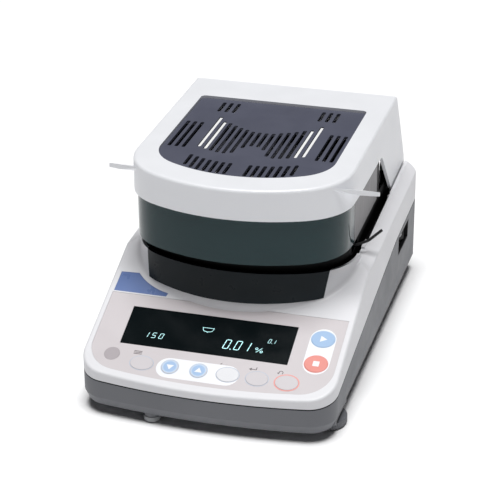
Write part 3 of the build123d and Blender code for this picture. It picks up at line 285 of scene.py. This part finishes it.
def sun(name, direction, strength, angle, col=(1, 1, 1)):
    d = D.lights.new(name, "SUN")
    d.energy = strength
    d.angle = math.radians(angle)
    d.color = col
    o = D.objects.new(name, d)
    scene.collection.objects.link(o)
    o.rotation_euler = Vector(direction).to_track_quat("-Z", "Y").to_euler()
    return o


sun("overhead", (-0.03, 0.07, -1.0), 3.5, 30)
# tall soft strip, right of the camera, that the curved glass mirrors
area("strip_light", (1.15, -1.5, 0.55), (0, 0, 0.12), (0.18, 0.9), 0.8)

scene.view_settings.view_transform = "Standard"

# ---------------------------------------------------------------------------
# CAD nodes: materials
# ---------------------------------------------------------------------------
put("lower_case", M["grey"])
put("upper_case", M["case"])
put("heater_cover", M["lid"])
put("grips", M["lid"])
put("grille", M["grille"])
put("front_apron", M["teal"])
put("chamber_rim", M["rim"])
put("inner_frame", M["rim"])
put("stop_foot", plastic("foot_plastic", (0.30, 0.31, 0.32), 0.5, 0.08, 1400, 0.3))
put("seam_gasket", M["rim"])
put("rear_feet", M["rubber"])
put("level_pad_right", M["rubber"])
put("level_pad_left", M["rubber"])
put("level_disc_right", M["grey"])
put("level_disc_left", M["grey"])
put("side_plates", M["brushed"])
# bright_strips: these are metal strips, but they get a near-white matte colour instead of metal, so their shine is a
# painted reflection
put("bright_strips", plastic("strip_painted_reflection_white", (0.93, 0.93, 0.92), 0.3, 0.04, 2400, 0.1))
put("sample_pan", M["pan"])
put("drip_tray", M["alu"])
put("breeze_ring", M["alu"])
put("pan_handle", M["black"])
put("pan_support", M["steel"])
for n in ("weighing_sensor", "sensor_base"):
    put(n, M["alu"])
for n in ("chassis", "hinge_brackets", "case_screws"):
    put(n, M["zinc"])
for n in ("hinge_pins", "guard_ring", "temperature_sensor", "serial_connector"):
    put(n, M["steel"])
put("reflector", M["bright"])
put("lamp_holders", M["ceramic"])
for n in ("main_board", "power_supply", "keyboard_board"):
    put(n, M["board"])
for n in ("key_switches", "ac_inlet", "fuse_holder", "switch_frame", "power_rocker", "display_module"):
    put(n, M["black"])
put("earth_terminal", M["brass"])

glass = Mat("tinted_glass", Roughness=0.1, IOR=1.45)
glass.b.inputs["Specular IOR Level"].default_value = 0.3
glass.b.inputs["Transmission Weight"].default_value = 0.0
glass.b.inputs["Alpha"].default_value = 0.9
glass.color(glass.ramp(glass.noise(9.0, 2.0), [(0.3, (0.018, 0.045, 0.05, 1)), (0.7, (0.024, 0.056, 0.062, 1))]))
M["glass"] = glass.m
put("cover_glass", M["glass"])

clear = Mat("clear_glass", Roughness=0.04, IOR=1.45)
clear.b.inputs["Transmission Weight"].default_value = 0.9
clear.color(clear.ramp(clear.noise(20.0, 2.0), [(0.3, (0.9, 0.93, 0.92, 1)), (0.7, (0.96, 0.98, 0.97, 1))]))
M["clear"] = clear.m
for n in ("halogen_lamps", "lamp_guard", "bubble_level"):
    put(n, M["clear"])

# overlay foil
ov = plastic("overlay_foil", (0.60, 0.56, 0.575), 0.38, 0.02, 3000, 0.12)
M["overlay"] = ov
put("panel_overlay", ov)
put("round_inlay", plastic("inlay_foil", (0.42, 0.38, 0.40), 0.35, 0.08, 2500, 0.1))
put("corner_plate", plastic("plate_foil", (0.125, 0.195, 0.42), 0.3, 0.05, 2500, 0.1, coat=0.3))
put("display_window", plastic("display_acrylic", (0.004, 0.0065, 0.0075), 0.16, 0.15, 900, 0.02, spec=0.12))
kw = plastic("key_foil", (0.60, 0.57, 0.59), 0.36, 0.03, 2800, 0.12)
for n in ("key_program", "key_down", "key_up", "key_select", "key_enter", "key_reset"):
    put(n, kw)
put("key_select", plastic("key_white", (0.74, 0.745, 0.77), 0.36, 0.03, 2800, 0.12))
put("key_start", plastic("key_blue", (0.34, 0.50, 0.73), 0.36, 0.05, 2800, 0.12))
put("key_stop", plastic("key_coral", (0.78, 0.27, 0.23), 0.36, 0.05, 2800, 0.12))


# ---------------------------------------------------------------------------
# Flat printed pieces: 2-D outlines on a plane, filled and given a thickness
# ---------------------------------------------------------------------------
PS, PC = 0.4, 1 / math.sqrt(1 + 0.4 ** 2)
PN = Vector((0, -PS * PC, PC))


def panel_matrix(d=0.0):
    """Local x, v (millimetres along the panel from y = 0) and height above it, to metres."""
    o = Vector((0, 0, 99.0)) + PN * d
    m = Matrix(((1, 0, 0, 0), (0, PC, PN.y, 0), (0, PS * PC, PN.z, 0), (0, 0, 0, 1)))
    return Matrix.Scale(S, 4) @ Matrix.Translation(o) @ m


def plane_matrix(origin, x, y):
    x, y = Vector(x).normalized(), Vector(y).normalized()
    z = x.cross(y)
    m = Matrix((x, y, z)).transposed().to_4x4()
    return Matrix.Scale(S, 4) @ Matrix.Translation(Vector(origin)) @ m


def flat(name, loops, mx, t, mat, body):
    """Closed thin plate from 2-D loops (holes by even-odd), from height 0 to t in mx's frame."""
    cu = D.curves.new(name + "_c", "CURVE")
    cu.dimensions = "2D"
    cu.fill_mode = "BOTH"
    cu.extrude = t / 2
    for lp in loops:
        sp = cu.splines.new("POLY")
        sp.points.add(len(lp) - 1)
        for p, q in zip(sp.points, lp):
            p.co = (q[0], q[1], 0, 1)
        sp.use_cyclic_u = True
    tmp = D.objects.new(name + "_t", cu)
    scene.collection.objects.link(tmp)
    bpy.context.view_layer.update()
    me = D.meshes.new_from_object(tmp.evaluated_get(bpy.context.evaluated_depsgraph_get()))
    D.objects.remove(tmp)
    me.transform(mx @ Matrix.Translation((0, 0, t / 2)))
    me.name = name
    bm = bmesh.new()
    bm.from_mesh(me)
    bmesh.ops.remove_doubles(bm, verts=bm.verts, dist=1e-7)
    bmesh.ops.recalc_face_normals(bm, faces=bm.faces)
    bm.to_mesh(me)
    bm.free()
    me.materials.clear()
    me.materials.append(mat)
    o = obj(name, me)
    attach(o, body)
    return o


def ell(cx, cy, a, b, n=48, a0=0.0, a1=360.0, closed=True):
    k = n if closed else n + 1
    return [(cx + a * math.cos(math.radians(a0 + (a1 - a0) * i / n)), cy + b * math.sin(math.radians(a0 + (a1 - a0) * i / n)))
            for i in range(k)]


def arc_band(cx, cy, a, b, w, a0, a1, n=40):
    """Open elliptical band of width w."""
    o = ell(cx, cy, a + w / 2, b + w / 2, n, a0, a1, False)
    i = ell(cx, cy, a - w / 2, b - w / 2, n, a0, a1, False)
    return o + i[::-1]


def rect(x0, y0, x1, y1, sl=0.0):
    return [(x0 + sl * y0, y0), (x1 + sl * y0, y0), (x1 + sl * y1, y1), (x0 + sl * y1, y1)]


def pill(x0, y0, x1, y1, r, n=12):
    """Rounded slot between two points with radius r."""
    d = Vector((x1 - x0, y1 - y0))
    a = math.atan2(d.y, d.x)
    out = []
    for cx, cy, s0 in ((x1, y1, a - math.pi / 2), (x0, y0, a + math.pi / 2)):
        for i in range(n + 1):
            t = s0 + math.pi * i / n
            out.append((cx + r * math.cos(t), cy + r * math.sin(t)))
    return out


SEG = {"0": "abcdef", "1": "bc", "5": "afgcd", "8": "abcdefg", "3": "abgcd", "2": "abged"}


def digit(ch, x, y, w, h, t, sl):
    """Seven-segment digit: hexagon bars with gaps, slanted."""
    g = t * 0.18
    bars = {"a": ((0, h), (w, h)), "g": ((0, h / 2), (w, h / 2)), "d": ((0, 0), (w, 0)),
            "f": ((0, h / 2), (0, h)), "e": ((0, 0), (0, h / 2)), "b": ((w, h / 2), (w, h)), "c": ((w, 0), (w, h / 2))}
    out = []
    for k in SEG[ch]:
        (x0, y0), (x1, y1) = bars[k]
        if y0 == y1:
            x0, x1 = x0 + g, x1 - g
            p = [(x0, y0), (x0 + t / 2, y0 + t / 2), (x1 - t / 2, y0 + t / 2), (x1, y0), (x1 - t / 2, y0 - t / 2), (x0 + t / 2, y0 - t / 2)]
        else:
            y0, y1 = y0 + g, y1 - g
            p = [(x0, y0), (x0 + t / 2, y0 + t / 2), (x0 + t / 2, y1 - t / 2), (x0, y1), (x0 - t / 2, y1 - t / 2), (x0 - t / 2, y0 + t / 2)]
        out.append([(x + px + sl * py, y + py) for px, py in p])
    return out


def ly(y):
    return y / PC


KEYS = {
    "key_program": (-51.0, -141.0, 9.0, 6.5),
    "key_down": (-28.6, -141.0, 6.6, 6.6),
    "key_up": (-6.1, -141.0, 6.6, 6.6),
    "key_select": (16.6, -141.0, 8.6, 6.7),
    "key_enter": (39.2, -141.0, 8.6, 6.6),
    "key_reset": (62.0, -141.0, 8.8, 6.9),
    "key_start": (79.4, -99.0, 9.0, 7.9),
    "key_stop": (79.4, -121.4, 8.8, 7.9),
}
OVT = -0.2              # top of the overlay
KT = 0.25               # top of the key caps

ink_white = plastic("print_white", (0.86, 0.87, 0.90), 0.35, 0.02, 3000, 0.1)
ink_dark = plastic("print_dark", (0.09, 0.07, 0.075), 0.4, 0.1, 3000, 0.1)
ink_ring = plastic("print_blue_grey", (0.50, 0.54, 0.62), 0.38, 0.04, 3000, 0.1)
ink_sky = plastic("print_sky", (0.52, 0.64, 0.80), 0.36, 0.05, 3000, 0.1)
ink_pale = plastic("print_pale_blue", (0.36, 0.52, 0.76), 0.36, 0.05, 3000, 0.1)
ink_coral = plastic("print_coral", (0.80, 0.33, 0.30), 0.36, 0.05, 3000, 0.1)
ink_line = plastic("print_border", (0.47, 0.44, 0.46), 0.4, 0.04, 3000, 0.1)
ink_blank = plastic("print_lilac", (0.66, 0.66, 0.76), 0.38, 0.03, 3000, 0.1)


def holes(*names, g=0.4):
    return [ell(KEYS[n][0], ly(KEYS[n][1]), KEYS[n][2] + g, KEYS[n][3] + g) for n in names]


# white fields round the arrow keys and the start and stop keys
flat("field_arrows", [pill(-29.6, ly(-141.9), 16.0, ly(-141.9), 9.4)] + holes("key_down", "key_up", "key_select"),
     panel_matrix(OVT), 0.03, ink_white, "case")
flat("field_start_stop", [pill(79.4, ly(-121.4), 79.4, ly(-99.0), 10.0)] + holes("key_start", "key_stop"),
     panel_matrix(OVT), 0.03, ink_white, "case")

# raised foil rings that close the gap round each cap
for n in KEYS:
    x, y, a, b = KEYS[n]
    on_field = n in ("key_down", "key_up", "key_select", "key_start", "key_stop")
    ink, w = {"key_reset": (ink_coral, 0.95), "key_start": (ink_sky, 0.45), "key_stop": (ink_coral, 0.45),
              "key_down": (ink_sky, 0.45), "key_up": (ink_sky, 0.45)}.get(n, (ink_ring, 0.62))
    flat("ring_" + n, [ell(x, ly(y), a + w, b + w, 64), ell(x, ly(y), a + 0.04, b + 0.04, 64)],
         panel_matrix(OVT + 0.005), 0.09, ink, "case")

# marks on the caps
for n, sgn in (("key_down", -1), ("key_up", 1)):
    x, y, a, b = KEYS[n]
    flat("edge_" + n, [ell(x, ly(y), a - 0.5, b - 0.5)], panel_matrix(KT), 0.012, ink_sky, n + "_cap")
    flat("face_" + n, [ell(x, ly(y), a - 1.7, b - 1.7)], panel_matrix(KT + 0.012), 0.012, ink_pale, n + "_cap")
    flat("mark_" + n, [[(x - 2.9, ly(y) - 1.7 * sgn), (x + 2.9, ly(y) - 1.7 * sgn), (x, ly(y) + 2.7 * sgn)]],
         panel_matrix(KT + 0.024), 0.02, ink_white, n + "_cap")
x, y, a, b = KEYS["key_start"]
flat("mark_key_start", [[(x - 2.0, ly(y) - 2.9), (x + 3.2, ly(y)), (x - 2.0, ly(y) + 2.9)]], panel_matrix(KT), 0.02, ink_white, "key_start_cap")
x, y, a, b = KEYS["key_stop"]
flat("mark_key_stop", [rect(x - 2.4, ly(y) - 2.4, x + 2.4, ly(y) + 2.4)], panel_matrix(KT), 0.02, ink_white, "key_stop_cap")

# plain symbols beside the other keys
v = ly(-133.0)
flat("symbol_program", [rect(-60 + 0, v + 1.9, -53.5, v + 2.5), rect(-60, v + 0.6, -53.5, v + 1.2), rect(-60, v - 0.7, -53.5, v - 0.1)],
     panel_matrix(OVT), 0.02, ink_dark, "case")
v = ly(-133.6)
flat("symbol_select", [[(8.0, v + 0.9), (9.8, v + 2.3), (9.8, v - 0.5)], rect(9.8, v + 0.6, 13.6, v + 1.2), [(15.4, v + 0.9), (13.6, v + 2.3), (13.6, v - 0.5)]],
     panel_matrix(OVT + 0.03), 0.02, ink_dark, "case")
flat("symbol_enter", [[(31.0, v + 0.3), (33.0, v + 1.6), (33.0, v + 0.6), (36.4, v + 0.6), (36.4, v + 2.6), (37.0, v + 2.6),
                      (37.0, v), (33.0, v), (33.0, v - 1.0)]], panel_matrix(OVT), 0.02, ink_dark, "case")
flat("symbol_reset", [arc_band(55.6, v + 0.7, 1.5, 1.5, 0.55, -50, 220), [(52.9, v + 0.5), (55.0, v + 0.7), (53.6, v - 1.0)]],
     panel_matrix(OVT), 0.02, ink_dark, "case")

# readings on the display
glow = Mat("display_glow", Roughness=0.5)
glow.b.inputs["Emission Strength"].default_value = 0.55
gc = glow.ramp(glow.noise(900.0, 2.0), [(0.3, (0.42, 0.86, 0.90, 1)), (0.7, (0.62, 0.98, 1.0, 1))])
glow.color(gc)
glow.link(gc, glow.b.inputs["Emission Color"])
DT = -0.4
dm = panel_matrix(DT)
v0 = ly(-120.6)
flat("digits_left", sum((digit(c, x, v0 + 3.6, 2.7, 4.9, 0.4, 0.22) for c, x in (("1", -57.3), ("5", -51.4), ("0", -45.6))), []),
     dm, 0.02, glow.m, "case")
v1 = ly(-118.2)
flat("digits_main", sum((digit(c, x, v1, 3.9, 8.6, 0.6, 0.20) for c, x in (("0", 5.6), ("0", 14.2), ("1", 21.2))), []) + [ell(11.8, v1 - 0.1, 0.5, 0.5, 12)],
     dm, 0.02, glow.m, "case")
flat("digits_small", sum((digit(c, x, ly(-108.4), 1.9, 3.7, 0.3, 0.2) for c, x in (("0", 38.6), ("1", 42.0))), []) + [ell(41.8, ly(-108.5), 0.25, 0.25, 10)],
     dm, 0.02, glow.m, "case")
pv = ly(-118.0)
sl = [(31.6, pv), (32.2, pv), (36.2, pv + 4.4), (35.6, pv + 4.4)]
flat("percent_sign", [sl, ell(31.9, pv + 3.4, 1.15, 1.15, 20), ell(31.9, pv + 3.4, 0.7, 0.7, 20), ell(35.9, pv + 1.0, 1.15, 1.15, 20),
                      ell(35.9, pv + 1.0, 0.7, 0.7, 20)], dm, 0.02, glow.m, "case")
tv = ly(-105.6)
tray = [(-14.4, tv + 4.0), (-5.0, tv + 4.0), (-5.9, tv + 1.0), (-7.6, tv), (-8.9, tv), (-9.7, tv - 0.9), (-10.5, tv), (-11.8, tv), (-13.5, tv + 1.0)]
inn = [(-13.9, tv + 3.65), (-5.5, tv + 3.65), (-6.2, tv + 1.25), (-7.75, tv + 0.4), (-9.1, tv + 0.4), (-9.7, tv - 0.3), (-10.3, tv + 0.4), (-11.65, tv + 0.4), (-13.2, tv + 1.25)]
flat("pan_symbol", [tray, inn], dm, 0.02, glow.m, "case")

# I and O on the two faces of the rocker
SWX, SWY, SWZ = 94.5, 104.5, 53.25
for nm, (x0, y0), (x1, y1), lp in (
        ("mark_off", (SWX - 2.2, SWY - 1.0), (SWX + 3.6, SWY + 7.8), [ell(5.6, 0, 2.3, 2.3), ell(5.6, 0, 1.6, 1.6)]),
        ("mark_on", (SWX - 1.0, SWY - 10.6), (SWX - 2.2, SWY - 1.0), [rect(4.8, -2.2, 5.4, 2.2)])):
    mx = plane_matrix((x0, y0, SWZ), (x1 - x0, y1 - y0, 0), (0, 0, 1))
    flat(nm, lp, mx, 0.04, ink_white, "rocker")
